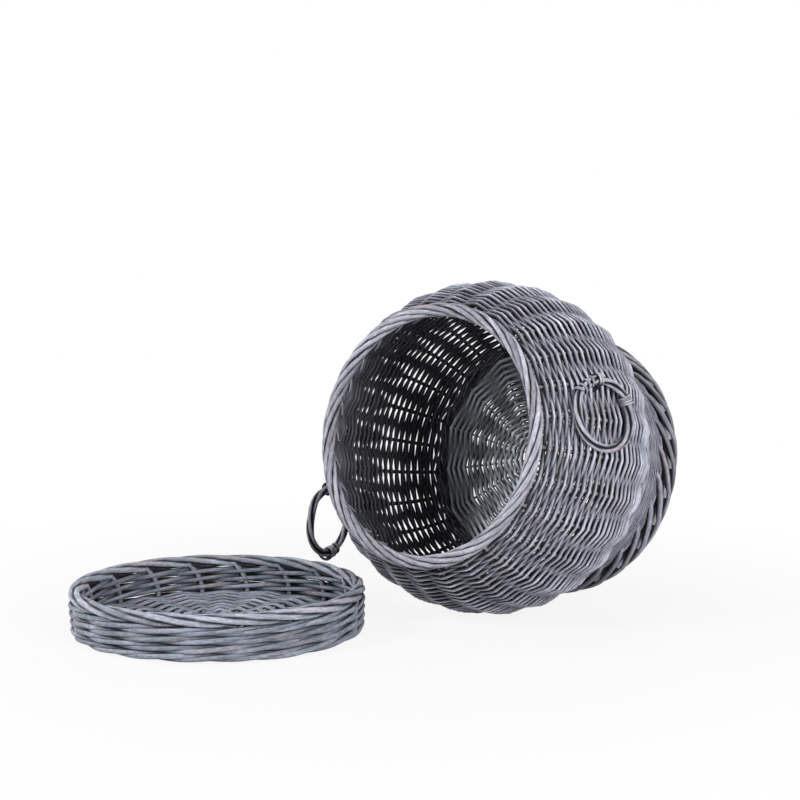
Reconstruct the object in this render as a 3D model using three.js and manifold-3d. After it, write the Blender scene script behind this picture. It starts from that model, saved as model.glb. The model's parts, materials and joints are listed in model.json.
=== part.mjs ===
// A pot-shaped laundry basket of grey willow with a loose dished lid and two ring handles.
// It lies on its side, on its belly and its foot, and the lid lies upside down on the floor beside its mouth.
// Units are millimetres and degrees, +Z is up and the floor is Z = 0. The basket is built standing up in its
// own group, with its standing plane at height 0, and is then laid down.
import * as THREE from "three";
import { mergeVertices } from "three/addons/utils/BufferGeometryUtils.js";
import Module from "manifold-3d";

const wasm = await Module();
wasm.setup();

// Fits
const CLEARANCE = 0.3;
const LID_FIT = 2;

// Side of the basket: outer radii at the tops of the bumps that the weave makes over each stake
const STAKE_COUNT = 28;
const STAKE_WIDTH = 5;
const WEAVER_WIDTH = 4;
const SCALLOP_DEPTH = 6;
const INNER_SCALLOP_DEPTH = 3;
const LOWER_COURSES = 12;
const UPPER_COURSES = 14;
const WEAVE_OVER_STAKE = 1.3;
const WAIST_RADIUS = 172.5;
const WAIST_HEIGHT = 84;
const BELLY_RADIUS = 220.5;
const BELLY_HEIGHT = 186;
const BELLY_FULLNESS = 2.35;
const WALL_TOP_RADIUS = 175.5;
const WALL_TOP_HEIGHT = 317;

// Border rolled round the mouth, set in from the wall below it
const MOUTH_INSET = 4.5;
const MOUTH_BORDER_WIDTH = 18;
const MOUTH_BORDER_HEIGHT = 18;

// Base: crossed sticks and the weave round them
const BASE_STICKS_EACH_WAY = 4;
const BASE_STICK_WIDTH = 7;
const BASE_STICK_HEIGHT = 6;
const BASE_CHEEK = 3.5;
const BASE_WEAVER_WIDTH = 2.6;
const UPSETT_BOTTOM_HEIGHT = 58;

// Foot: fine weave on its own stakes, and the border that the basket stands on
const FOOT_STAKE_COUNT = 14;
const FOOT_STAKE_WIDTH = 5;
const FOOT_WEAVER_WIDTH = 2.2;
const FOOT_SCALLOP_DEPTH = 1.5;
const FOOT_INNER_SCALLOP_DEPTH = 1;
const FOOT_TOP_INSET = 1.5;
const FOOT_RADIUS = 183;
const FOOT_BORDER_OVERHANG = 7;
const FOOT_BORDER_WIDTH = 19;
const FOOT_FLAT_CUT = 1;

// Ring handles: one rod wound into turns, bound by a whipping and held to the wall by a loop
const RING_SEAT_STAKE = 2;
const RING_SEAT_DROP = 62;
const RING_MEAN_RADIUS = 44;
const RING_ROD_WIDTH = 4.4;
const RING_TURNS = 3;
const RING_TWISTS = 5;
const RING_ROD_GAP = 0.75;
const RING_ROD_SIDES = 6;
const RING_STEPS_PER_TURN = 24;
const RING_END_GAP = 9;
const RING_WALL_GAP = 0.8;
const RIGHT_RING_STANDOFF = 1.5;
const LEFT_RING_STANDOFF = 6;
const RIGHT_RING_SWIVEL = 13.5;
const LEFT_RING_SWIVEL = 6;
const WHIPPING_ROD_WIDTH = 2;
const WHIPPING_TURNS = 4;
const WHIPPING_GAP = 1;
const WHIPPING_STEPS_PER_TURN = 10;
const WHIPPING_SIDES = 4;
const RIGHT_WHIPPING_ANGLE = -70;
const LEFT_WHIPPING_ANGLE = 175;
const LOOP_ROD_WIDTH = 3.4;
const LOOP_PLAY = 0.6;
const LOOP_SOCKET_DEPTH = 5;
const LOOP_SOCKET_WALL = 1.2;

// Lid, upside down
const LID_STAKE_COUNT = 18;
const LID_STAKE_WIDTH = 6;
const LID_WEAVER_WIDTH = 5.5;
const LID_SCALLOP_DEPTH = 3;
const LID_INNER_SCALLOP_DEPTH = 2;
const LID_TAPER = 2.5;
const LID_WALE_HEIGHT = 42;
const LID_WALE_LIFT = 0.5;
const LID_BORDER_WIDTH = 18;
const LID_BORDER_HEIGHT = 18;
const LID_STICKS_EACH_WAY = 3;
const LID_STICK_WIDTH = 7;
const LID_STICK_HEIGHT = 5;
const LID_CHEEK = 2.2;
const LID_PANEL_WEAVER_WIDTH = 2.5;
const LID_OPENING_ROWS = 4;
const LID_OPENING_WIDTH = 6;
const LID_OPENING_MARGIN = 2;
const LID_GAP = 7;
const LID_BEARING = 246;

// Facets
const RIM_SEGMENTS = 2 * STAKE_COUNT;
const RIM_SIDES = 8;
const WALL_BANDS = 3;
const BAND_CROWDING = 1.2;
const SCALLOP_SHARPNESS = 2.4;
const STRAIGHT_STROKES = [-0.5, 0];
const ROUNDED_STROKES = [-0.5, -0.25, 0, 0.25];
const CROSS_HOLE_SEGMENTS = 24;
const LOOP_SIDES = 6;
const LOOP_STEPS = 16;
const SOCKET_SIDES = 8;

// Steps of the searches for how the pieces lie
const HANG_STEP = 0.25;
const RING_PROBES = 48;

// Colours
const COLOURS = {
  weave: 0x7a7c88,
  stake: 0x6c6a72,
  border: 0x868895,
  stick: 0x5d5b61,
  ring: 0x74757f,
  lid: 0x757a86,
};

function willow(colour) {
  return new THREE.MeshStandardMaterial({ color: colour, roughness: 0.72, metalness: 0 });
}

function piece(name, geometry, colour) {
  const mesh = new THREE.Mesh(geometry, willow(colour));
  mesh.name = name;
  return mesh;
}

const radians = THREE.MathUtils.degToRad;
const turn = 2 * Math.PI;

// Joins and cuts
function toSolid(geometry) {
  const bare = geometry.clone();
  for (const name of Object.keys(bare.attributes)) {
    if (name !== "position") {
      bare.deleteAttribute(name);
    }
  }
  const merged = mergeVertices(bare, 1e-4);
  const vertProperties = new Float32Array(merged.attributes.position.array);
  const triVerts = new Uint32Array(merged.index.array);
  return new wasm.Manifold(new wasm.Mesh({ numProp: 3, vertProperties, triVerts }));
}

function toGeometry(solid) {
  const mesh = solid.getMesh();
  const geometry = new THREE.BufferGeometry();
  geometry.setAttribute("position", new THREE.BufferAttribute(mesh.vertProperties, 3));
  geometry.setIndex(new THREE.BufferAttribute(mesh.triVerts, 1));
  geometry.computeVertexNormals();
  return geometry;
}

function joined(geometries) {
  return toGeometry(geometries.map(toSolid).reduce((whole, part) => whole.add(part)));
}

function cut(geometry, cutters) {
  return toGeometry(cutters.map(toSolid).reduce((whole, part) => whole.subtract(part), toSolid(geometry)));
}

// A solid with an outer face and any number of holes, each given as loops stacked from the bottom to the top
function loft(faces) {
  const positions = [];
  const index = [];
  const bottom = [];
  const top = [];
  for (const levels of faces) {
    const perLevel = levels[0].loop.length;
    const start = positions.length / 3;
    levels.forEach(({ height, loop }) => loop.forEach((point) => positions.push(point.x, point.y, height)));
    for (let level = 0; level + 1 < levels.length; level += 1) {
      for (let i = 0; i < perLevel; i += 1) {
        const a = start + level * perLevel + i;
        const b = start + level * perLevel + ((i + 1) % perLevel);
        index.push(a, b, b + perLevel, a, b + perLevel, a + perLevel);
      }
    }
    for (let i = 0; i < perLevel; i += 1) {
      bottom.push(start + i);
      top.push(start + (levels.length - 1) * perLevel + i);
    }
  }
  const [outer, ...holes] = faces.map((levels) => levels[0].loop);
  const flat = [outer, ...holes].flat();
  for (const [a, b, c] of THREE.ShapeUtils.triangulateShape(outer, holes)) {
    const area = THREE.ShapeUtils.area([flat[a], flat[b], flat[c]]);
    const up = area > 0 ? [a, b, c] : [a, c, b];
    index.push(bottom[up[0]], bottom[up[2]], bottom[up[1]]);
    index.push(top[up[0]], top[up[1]], top[up[2]]);
  }
  const geometry = new THREE.BufferGeometry();
  geometry.setAttribute("position", new THREE.Float32BufferAttribute(positions, 3));
  geometry.setIndex(index);
  geometry.computeVertexNormals();
  return geometry;
}

// The faces of a solid whose sections all lie on the same heights
function facesThrough(sections) {
  return sections[0].loops.map((_, i) => sections.map(({ height, loops }) => ({ height, loop: loops[i] })));
}

function polar(radius, angle) {
  return new THREE.Vector2(radius * Math.cos(angle), radius * Math.sin(angle));
}

function circle(radius, segments) {
  return Array.from({ length: segments }, (_, i) => polar(radius, (i * turn) / segments));
}

// A square round a stake's place, counterclockwise
function stakeSquare(radius, angle, width) {
  const corners = [[-1, -1], [1, -1], [1, 1], [-1, 1]];
  return corners.map(([out, along]) => {
    const corner = new THREE.Vector2(radius + (out * width) / 2, (along * width) / 2);
    return corner.rotateAround(new THREE.Vector2(), angle);
  });
}

// The outside of a woven wall at one height: bumps over the stakes, lower where a stake is passed behind,
// and dips between them
function wovenOutside(wall, crest, loweredAt) {
  const loop = [];
  for (let k = 0; k < wall.stakes; k += 1) {
    for (const share of wall.shares) {
      const fall = (2 * Math.abs(share)) ** SCALLOP_SHARPNESS;
      const dip = loweredAt(k) * (1 - fall) + wall.scallop * fall;
      loop.push(polar(crest - dip, ((k + share) * turn) / wall.stakes));
    }
  }
  return loop;
}

// A level section of a woven wall, with a channel for each stake
function wovenSection(wall, crest, height) {
  const pitch = turn / wall.stakes;
  const outer = wovenOutside(wall, crest, () => 0);
  const inner = [];
  const channels = [];
  for (let k = 0; k < wall.stakes; k += 1) {
    inner.push(polar(crest - wallThickness(wall) + wall.innerScallop, (k - 0.5) * pitch));
    inner.push(polar(crest - wallThickness(wall), k * pitch));
    const channelWidth = wall.stake + 2 * CLEARANCE;
    channels.push(stakeSquare(stakeRadius(wall, crest), k * pitch, channelWidth).reverse());
  }
  return { height, loops: [outer, inner.reverse(), ...channels] };
}

function wallThickness(wall) {
  return wall.stake + 2 * wall.weaver;
}

function stakeRadius(wall, crest) {
  return crest - wallThickness(wall) / 2;
}

// A ring with a flat-sided round section, cut flat below by the given depth
function rim(outerRadius, width, height, flatCut, segments, bottom) {
  const centre = outerRadius - width / 2;
  const turned = flatCut > 0 ? 0 : 0.5;
  const reach = flatCut > 0 ? 1 : 1 / Math.cos(Math.PI / RIM_SIDES);
  const middle = bottom + height / 2 - flatCut;
  const profile = [];
  for (let i = 0; i <= RIM_SIDES; i += 1) {
    const angle = ((i % RIM_SIDES) + turned) * (turn / RIM_SIDES);
    const out = (reach * width * Math.cos(angle)) / 2;
    const up = (reach * height * Math.sin(angle)) / 2;
    profile.push(new THREE.Vector2(centre + out, middle + up));
  }
  const ring = new THREE.LatheGeometry(profile, segments);
  ring.rotateX(Math.PI / 2);
  return ring;
}

// Wall of the basket
const side = {
  stakes: STAKE_COUNT,
  shares: STRAIGHT_STROKES,
  stake: STAKE_WIDTH,
  weaver: WEAVER_WIDTH,
  scallop: SCALLOP_DEPTH,
  innerScallop: INNER_SCALLOP_DEPTH,
};

function crestRadius(height) {
  const above = height > BELLY_HEIGHT;
  const span = above ? WALL_TOP_HEIGHT - BELLY_HEIGHT : BELLY_HEIGHT - WAIST_HEIGHT;
  const end = above ? WALL_TOP_RADIUS : WAIST_RADIUS;
  const share = Math.min(Math.abs(height - BELLY_HEIGHT) / span, 1);
  return BELLY_RADIUS - (BELLY_RADIUS - end) * share ** BELLY_FULLNESS;
}

// Heights between two levels, closer together towards the first where the wall turns fastest
function levelsBetween(sharp, gentle) {
  return Array.from({ length: WALL_BANDS + 1 }, (_, i) => {
    return sharp + (gentle - sharp) * (i / WALL_BANDS) ** BAND_CROWDING;
  });
}

const lowerLevels = levelsBetween(WAIST_HEIGHT + CLEARANCE, BELLY_HEIGHT);
const upperLevels = levelsBetween(WALL_TOP_HEIGHT, BELLY_HEIGHT + CLEARANCE).reverse();
const upsettLevels = [UPSETT_BOTTOM_HEIGHT + CLEARANCE, WAIST_HEIGHT];

// About two rows of weave make a course, which passes by turns in front of one stake and behind the next,
// the other way round from the course below. The first and last edges are even.
const strokeDepth = WEAVER_WIDTH - CLEARANCE - WEAVE_OVER_STAKE;

function passesBehind(stake, course, courses) {
  return course > 0 && course < courses && (stake + course) % 2 === 1;
}

function courseHeights(levels, courses) {
  const low = levels[0];
  const high = levels[levels.length - 1];
  return Array.from({ length: courses + 1 }, (_, course) => low + ((high - low) * course) / courses);
}

function sideWeave(levels, courses) {
  const faces = facesThrough(levels.map((height) => wovenSection(side, crestRadius(height), height)));
  faces[0] = courseHeights(levels, courses).map((height, course) => {
    const loweredAt = (k) => (passesBehind(k, course, courses) ? strokeDepth : 0);
    return { height, loop: wovenOutside(side, crestRadius(height), loweredAt) };
  });
  return loft(faces);
}

function sideStake(k) {
  const angle = (k * turn) / STAKE_COUNT;
  const heights = [...upsettLevels, ...lowerLevels.slice(1), ...upperLevels.slice(1)];
  return loft([heights.map((height) => {
    const radius = stakeRadius(side, crestRadius(height));
    return { height, loop: stakeSquare(radius, angle, STAKE_WIDTH) };
  })]);
}

// Crossed sticks in a layer centred on height 0: the slit ones open to let the others through
function ribbon(path, width) {
  const offset = (sign) => path.map((point, i) => {
    const before = path[Math.max(i - 1, 0)];
    const after = path[Math.min(i + 1, path.length - 1)];
    const inward = point.clone().sub(before).normalize();
    const onward = after.clone().sub(point).normalize();
    const along = inward.add(onward).normalize();
    return point.clone().add(new THREE.Vector2(-along.y, along.x).multiplyScalar((sign * width) / 2));
  });
  return new THREE.Shape([...offset(-1), ...offset(1).reverse()]);
}

function slab(shape, height) {
  const geometry = new THREE.ExtrudeGeometry(shape, { depth: height, bevelEnabled: false });
  return geometry.translate(0, 0, -height / 2);
}

function crossHalf(cross) {
  return (cross.each * (cross.width + CLEARANCE)) / 2 + CLEARANCE;
}

function crossEnd(cross) {
  return crossHalf(cross) + cross.cheek;
}

function stickPath(cross, i, reach) {
  const place = i - (cross.each - 1) / 2;
  const offset = place * (cross.width + CLEARANCE);
  const fan = (place * Math.PI) / (2 * cross.each);
  const end = polar(reach, fan);
  const bend = new THREE.Vector2(crossEnd(cross), offset);
  return [[-end.x, end.y], [-bend.x, bend.y], [bend.x, bend.y], [end.x, end.y]]
    .map(([x, y]) => new THREE.Vector2(x, y));
}

function throughStick(cross, i) {
  return slab(ribbon(stickPath(cross, i, cross.reach), cross.width), cross.height).rotateZ(Math.PI / 2);
}

function slitStick(cross, i) {
  const path = stickPath(cross, i, cross.reach);
  const arms = slab(ribbon(path, cross.width), cross.height);
  const swell = new THREE.BoxGeometry(2 * crossEnd(cross), cross.width, cross.height + 2 * cross.cheek);
  swell.translate(0, path[1].y, 0);
  const slit = new THREE.BoxGeometry(2 * crossHalf(cross), 2 * cross.width, cross.height + 2 * CLEARANCE);
  slit.translate(0, path[1].y, 0);
  return cut(joined([arms, swell]), [slit]);
}

// Openings through a panel in rows out from the cross, straight across from one spoke to the next
function panelOpenings(cross, bare, radius, thickness) {
  const between = Math.PI / (2 * cross.each);
  const margin = (cross.width / 2 + CLEARANCE + LID_OPENING_MARGIN) / Math.cos(between / 2);
  const openings = [];
  for (let row = 1; row <= cross.openingRows; row += 1) {
    const middle = bare + ((radius - bare) * row) / (cross.openingRows + 1);
    const corners = [[-1, -1], [1, -1], [1, 1], [-1, 1]].map(([out, along]) => {
      const away = middle + (out * LID_OPENING_WIDTH) / 2;
      return new THREE.Vector2(away, along * (away * Math.tan(between / 2) - margin));
    });
    const opening = slab(new THREE.Shape(corners), thickness + 2 * CLEARANCE);
    for (let k = 0; k < 4 * cross.each; k += 1) {
      openings.push(opening.clone().rotateZ((k + 1 - cross.each / 2) * between));
    }
  }
  return openings;
}

// A round woven panel with the sticks' channels inside it and the bare cross at its middle
function wovenPanel(cross, radius, thickness) {
  const disc = new THREE.Shape(circle(radius, RIM_SEGMENTS));
  const bare = Math.hypot(crossEnd(cross), crossHalf(cross)) + cross.cheek;
  const openings = panelOpenings(cross, bare, radius, thickness);
  disc.holes.push(new THREE.Path(circle(bare, CROSS_HOLE_SEGMENTS)));
  const channels = [];
  for (let i = 0; i < cross.each; i += 1) {
    const path = stickPath(cross, i, radius + cross.width);
    const channel = slab(ribbon(path, cross.width + 2 * CLEARANCE), cross.height + 2 * CLEARANCE);
    channels.push(channel, channel.clone().rotateZ(Math.PI / 2));
  }
  return cut(slab(disc, thickness), [...channels, ...openings]);
}

function addCross(group, cross, prefix, height) {
  for (let i = 0; i < cross.each; i += 1) {
    const slit = piece(`${prefix}slit_stick_${i + 1}`, slitStick(cross, i), COLOURS.stick);
    const through = piece(`${prefix}through_stick_${i + 1}`, throughStick(cross, i), COLOURS.stick);
    slit.position.z = height;
    through.position.z = height;
    group.add(slit, through);
  }
}

// A straight stretch of wall between two ends, carried on past them
function crestBetween(low, high, height) {
  return low.crest + ((high.crest - low.crest) * (height - low.height)) / (high.height - low.height);
}

// A border with stakes of its own that run along a woven wall's channels
function stakedBorder(border, wall, low, high, from, to) {
  const stakes = Array.from({ length: wall.stakes }, (_, k) => loft([[from, to].map((height) => {
    const radius = stakeRadius(wall, crestBetween(low, high, height));
    return { height, loop: stakeSquare(radius, (k * turn) / wall.stakes, wall.stake) };
  })]));
  return joined([border, ...stakes]);
}

// Basket, standing
const basket = new THREE.Group();

const baseThickness = BASE_STICK_HEIGHT + 2 * BASE_WEAVER_WIDTH;
const baseRadius = WAIST_RADIUS - wallThickness(side) - CLEARANCE;
const baseHeight = UPSETT_BOTTOM_HEIGHT + CLEARANCE + baseThickness / 2;
const baseCross = {
  each: BASE_STICKS_EACH_WAY,
  width: BASE_STICK_WIDTH,
  height: BASE_STICK_HEIGHT,
  cheek: BASE_CHEEK,
  openingRows: 0,
  reach: baseRadius - CLEARANCE,
};
addCross(basket, baseCross, "", baseHeight);
const baseWeave = piece("base_weave", wovenPanel(baseCross, baseRadius, baseThickness), COLOURS.weave);
baseWeave.position.z = baseHeight;
basket.add(baseWeave);

basket.add(piece("upsett_wale", sideWeave(upsettLevels, 1), COLOURS.border));
for (let k = 0; k < STAKE_COUNT; k += 1) {
  basket.add(piece(`side_stake_${String(k + 1).padStart(2, "0")}`, sideStake(k), COLOURS.stake));
}
basket.add(piece("lower_side_weave", sideWeave(lowerLevels, LOWER_COURSES), COLOURS.weave));

const mouthRadius = WALL_TOP_RADIUS - MOUTH_INSET;
const mouthBorder = rim(mouthRadius, MOUTH_BORDER_WIDTH, MOUTH_BORDER_HEIGHT, 0, RIM_SEGMENTS,
  WALL_TOP_HEIGHT + CLEARANCE);
basket.add(piece("mouth_border", mouthBorder, COLOURS.border));

// Foot
const foot = {
  stakes: FOOT_STAKE_COUNT,
  shares: ROUNDED_STROKES,
  stake: FOOT_STAKE_WIDTH,
  weaver: FOOT_WEAVER_WIDTH,
  scallop: FOOT_SCALLOP_DEPTH,
  innerScallop: FOOT_INNER_SCALLOP_DEPTH,
};
const footBorderTop = FOOT_BORDER_WIDTH - FOOT_FLAT_CUT;
const footBottom = { crest: FOOT_RADIUS - FOOT_BORDER_OVERHANG, height: footBorderTop + CLEARANCE };
const footTop = { crest: WAIST_RADIUS - FOOT_TOP_INSET, height: UPSETT_BOTTOM_HEIGHT };
const footSections = [footBottom, footTop].map((end) => wovenSection(foot, end.crest, end.height));
const footWeave = loft(facesThrough(footSections));
basket.add(piece("foot_weave", footWeave, COLOURS.weave));

const footRoll = rim(FOOT_RADIUS, FOOT_BORDER_WIDTH, FOOT_BORDER_WIDTH, FOOT_FLAT_CUT, RIM_SEGMENTS, 0);
const footFlat = new THREE.BoxGeometry(3 * FOOT_RADIUS, 3 * FOOT_RADIUS, FOOT_BORDER_WIDTH);
footFlat.translate(0, 0, -FOOT_BORDER_WIDTH / 2);
const footBorder = stakedBorder(cut(footRoll, [footFlat]), foot, footBottom, footTop,
  footBorderTop / 2, UPSETT_BOTTOM_HEIGHT);
basket.add(piece("foot_border", footBorder, COLOURS.border));

// How the basket lies: the line under its belly and its foot is the floor
const footContacts = [];
for (let i = 0; i < RIM_SIDES; i += 1) {
  const angle = (i * turn) / RIM_SIDES;
  footContacts.push({
    radius: FOOT_RADIUS - (FOOT_BORDER_WIDTH / 2) * (1 - Math.cos(angle)),
    height: Math.max(FOOT_BORDER_WIDTH / 2 - FOOT_FLAT_CUT + (FOOT_BORDER_WIDTH / 2) * Math.sin(angle), 0),
  });
}

function slopeTo(height) {
  return Math.min(...footContacts.map((contact) => {
    return Math.atan2(crestRadius(height) - contact.radius, height - contact.height);
  }));
}

const lowestStake = Math.round((3 * STAKE_COUNT) / 4);
const bellyContacts = courseHeights(lowerLevels, LOWER_COURSES).filter((_, course) => {
  return !passesBehind(lowestStake, course, LOWER_COURSES);
});
const tilt = Math.max(...bellyContacts.map(slopeTo));
const lift = Math.max(...footContacts.map((contact) => {
  return contact.radius * Math.cos(tilt) - contact.height * Math.sin(tilt);
}));
basket.rotation.x = Math.PI / 2 - tilt;
basket.position.z = lift;
basket.updateMatrixWorld(true);
const toBasket = basket.matrixWorld.clone().invert();

// Ring handles
const ringReach = (RING_ROD_WIDTH + RING_ROD_GAP) / (2 * Math.sin(Math.PI / RING_TURNS));
const bundleRadius = ringReach + RING_ROD_WIDTH / 2;
const loopReach = bundleRadius + LOOP_PLAY + LOOP_ROD_WIDTH / 2;

// One rod that goes round the ring several times and winds about the ring's middle line
class RingRod extends THREE.Curve {
  getPoint(t, target = new THREE.Vector3()) {
    const usable = 1 - RING_END_GAP / (turn * RING_MEAN_RADIUS * RING_TURNS);
    const round = RING_TURNS * turn * t * usable;
    const twist = (round * RING_TWISTS) / RING_TURNS;
    const radius = RING_MEAN_RADIUS + ringReach * Math.cos(twist);
    return target.set(radius * Math.sin(round), ringReach * Math.sin(twist), radius * Math.cos(round));
  }
}

// A thin rod bound round the ring at one place
class WhippingRod extends THREE.Curve {
  constructor(angle) {
    super();
    this.middle = radians(angle);
  }

  getPoint(t, target = new THREE.Vector3()) {
    const step = (WHIPPING_ROD_WIDTH + WHIPPING_GAP) / RING_MEAN_RADIUS;
    const round = this.middle + (t - 0.5) * WHIPPING_TURNS * step;
    const wind = t * WHIPPING_TURNS * turn;
    const flat = Math.cos(Math.PI / WHIPPING_STEPS_PER_TURN);
    const reach = (bundleRadius + CLEARANCE + WHIPPING_ROD_WIDTH / 2) / flat;
    const radius = RING_MEAN_RADIUS + reach * Math.cos(wind);
    return target.set(radius * Math.sin(round), reach * Math.sin(wind), radius * Math.cos(round));
  }
}

function rod(curve, width, sides, steps) {
  curve.arcLengthDivisions = 8 * steps;
  const section = new THREE.Shape(circle(width / 2, sides));
  return new THREE.ExtrudeGeometry(section, { steps, extrudePath: curve, bevelEnabled: false });
}

// Least gap between turns of one rod, measured between points on its middle line
function leastGap(curve, width, steps) {
  const points = curve.getSpacedPoints(4 * steps);
  const apart = Math.ceil((4 * width * points.length) / curve.getLength());
  let least = Infinity;
  for (let i = 0; i < points.length; i += 1) {
    for (let j = i + apart; j < points.length; j += 1) {
      least = Math.min(least, points[i].distanceTo(points[j]));
    }
  }
  return least - width;
}

// The loop round a ring: two legs in sockets in the wall and a half turn over the ring
class LoopRod extends THREE.Curve {
  constructor(legLength) {
    super();
    this.leg = legLength;
  }

  getPoint(t, target = new THREE.Vector3()) {
    const arc = Math.PI * loopReach;
    const along = t * (2 * this.leg + arc);
    if (along < this.leg) {
      return target.set(-loopReach, 0, along - this.leg);
    }
    if (along > this.leg + arc) {
      return target.set(loopReach, 0, this.leg + arc - along);
    }
    const angle = Math.PI - (along - this.leg) / loopReach;
    return target.set(loopReach * Math.cos(angle), 0, loopReach * Math.sin(angle));
  }
}

// A frame at a ring's seat, in the basket's own coordinates: the ring swings about its Y axis through its origin
function ringSeat(stake, lift, swivel, standoff) {
  const height = WALL_TOP_HEIGHT - RING_SEAT_DROP;
  const angle = (stake * turn) / STAKE_COUNT + lift / crestRadius(height);
  const slope = (crestRadius(height + 1) - crestRadius(height - 1)) / 2;
  const outward = polar(1, angle);
  const normal = new THREE.Vector3(outward.x, outward.y, -slope).normalize();
  const onWall = new THREE.Vector3(outward.x, outward.y, 0).multiplyScalar(crestRadius(height)).setZ(height);
  const sideways = Math.sign(Math.cos(angle));
  const axis = new THREE.Vector3(-Math.sin(radians(swivel)), -sideways * Math.cos(radians(swivel)), 0);
  axis.transformDirection(toBasket);
  const out = normal.clone().addScaledVector(axis, -normal.dot(axis)).normalize();
  const centre = onWall.addScaledVector(normal, bundleRadius + standoff);
  return { axis, out, centre };
}

function ringClears(seat, hang) {
  for (let i = 0; i < RING_PROBES; i += 1) {
    const round = (i * turn) / RING_PROBES;
    const point = seat.centre.clone();
    point.addScaledVector(hang, RING_MEAN_RADIUS * (1 - Math.cos(round)));
    point.addScaledVector(seat.axis, RING_MEAN_RADIUS * Math.sin(round));
    const slope = (crestRadius(point.z + 1) - crestRadius(point.z - 1)) / 2;
    const gap = (Math.hypot(point.x, point.y) - crestRadius(point.z)) / Math.hypot(1, slope);
    if (gap < bundleRadius + RING_WALL_GAP) {
      return false;
    }
  }
  return true;
}

// A ring hangs straight down from its seat, or leans on the wall where the wall is in the way
function ringHang(seat) {
  const down = new THREE.Vector3(0, 0, -1).transformDirection(toBasket);
  down.addScaledVector(seat.axis, -down.dot(seat.axis)).normalize();
  for (let swing = 0; swing < 90; swing += HANG_STEP) {
    const hang = down.clone().applyAxisAngle(seat.axis, radians(swing));
    if (ringClears(seat, hang)) {
      return hang;
    }
  }
  return down;
}

function frameFrom(origin, xAxis, yAxis, zAxis) {
  return new THREE.Matrix4().makeBasis(xAxis, yAxis, zAxis).setPosition(origin);
}

const ringRod = new RingRod();
const ringSteps = RING_TURNS * RING_STEPS_PER_TURN;
const whippingSteps = WHIPPING_TURNS * WHIPPING_STEPS_PER_TURN;
const sockets = [];

function addRing(name, stake, lift, swivel, standoff, whippingAngle) {
  const seat = ringSeat(stake, lift, swivel, standoff);
  const legLength = bundleRadius + standoff + LOOP_SOCKET_DEPTH;
  const loopFrame = frameFrom(seat.centre, seat.axis.clone().cross(seat.out), seat.axis, seat.out);
  const loop = rod(new LoopRod(legLength), LOOP_ROD_WIDTH, LOOP_SIDES, LOOP_STEPS);
  basket.add(piece(`${name}_handle_loop`, loop.applyMatrix4(loopFrame), COLOURS.stick));
  for (const way of [-1, 1]) {
    const socketRadius = LOOP_ROD_WIDTH / 2 + 2 * CLEARANCE;
    const socket = new THREE.CylinderGeometry(socketRadius, socketRadius, 2 * legLength, SOCKET_SIDES);
    socket.rotateX(Math.PI / 2).translate(way * loopReach, 0, -CLEARANCE);
    sockets.push(socket.applyMatrix4(loopFrame));
  }
  const hang = ringHang(seat);
  const middle = seat.centre.clone().addScaledVector(hang, RING_MEAN_RADIUS);
  const ringFrame = frameFrom(middle, seat.axis, seat.axis.clone().cross(hang), hang.clone().negate());
  const ring = rod(ringRod, RING_ROD_WIDTH, RING_ROD_SIDES, ringSteps);
  const whippingRod = new WhippingRod(whippingAngle);
  const whipping = rod(whippingRod, WHIPPING_ROD_WIDTH, WHIPPING_SIDES, whippingSteps);
  basket.add(piece(`${name}_ring_handle`, ring.applyMatrix4(ringFrame), COLOURS.ring));
  basket.add(piece(`${name}_ring_whipping`, whipping.applyMatrix4(ringFrame), COLOURS.stick));
  console.log(name, "whipping least gap", leastGap(whippingRod, WHIPPING_ROD_WIDTH, whippingSteps).toFixed(2));
}

// The right loop straddles its stake, and the left one stands just above the opposite stake
const besideStake = STAKE_WIDTH / 2 + LOOP_SOCKET_WALL + 3 * CLEARANCE + LOOP_ROD_WIDTH / 2 + loopReach;
addRing("right", RING_SEAT_STAKE, 0, RIGHT_RING_SWIVEL, RIGHT_RING_STANDOFF, RIGHT_WHIPPING_ANGLE);
const oppositeStake = RING_SEAT_STAKE + STAKE_COUNT / 2;
addRing("left", oppositeStake, -besideStake, LEFT_RING_SWIVEL, LEFT_RING_STANDOFF, LEFT_WHIPPING_ANGLE);
console.log("ring rod least gap", leastGap(ringRod, RING_ROD_WIDTH, ringSteps).toFixed(2));

basket.add(piece("upper_side_weave", cut(sideWeave(upperLevels, UPPER_COURSES), sockets), COLOURS.weave));

// Lid
const lid = new THREE.Group();
const lidWall = {
  stakes: LID_STAKE_COUNT,
  shares: ROUNDED_STROKES,
  stake: LID_STAKE_WIDTH,
  weaver: LID_WEAVER_WIDTH,
  scallop: LID_SCALLOP_DEPTH,
  innerScallop: LID_INNER_SCALLOP_DEPTH,
};
const lidCrest = mouthRadius + LID_FIT + wallThickness(lidWall);
const panelThickness = LID_STICK_HEIGHT + 2 * LID_PANEL_WEAVER_WIDTH;
const panelRadius = lidCrest - LID_TAPER - wallThickness(lidWall) - CLEARANCE;
const lidCross = {
  each: LID_STICKS_EACH_WAY,
  width: LID_STICK_WIDTH,
  height: LID_STICK_HEIGHT,
  cheek: LID_CHEEK,
  openingRows: LID_OPENING_ROWS,
  reach: panelRadius - CLEARANCE,
};
addCross(lid, lidCross, "lid_", panelThickness / 2);
const lidWeave = piece("lid_weave", wovenPanel(lidCross, panelRadius, panelThickness), COLOURS.lid);
lidWeave.position.z = panelThickness / 2;
lid.add(lidWeave);

const lidBottom = { crest: lidCrest - LID_TAPER, height: LID_WALE_LIFT };
const lidTop = { crest: lidCrest, height: LID_WALE_HEIGHT };
const lidSections = [lidBottom, lidTop].map((end) => wovenSection(lidWall, end.crest, end.height));
const lidWale = loft(facesThrough(lidSections));
lid.add(piece("lid_wale", lidWale, COLOURS.lid));

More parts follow.
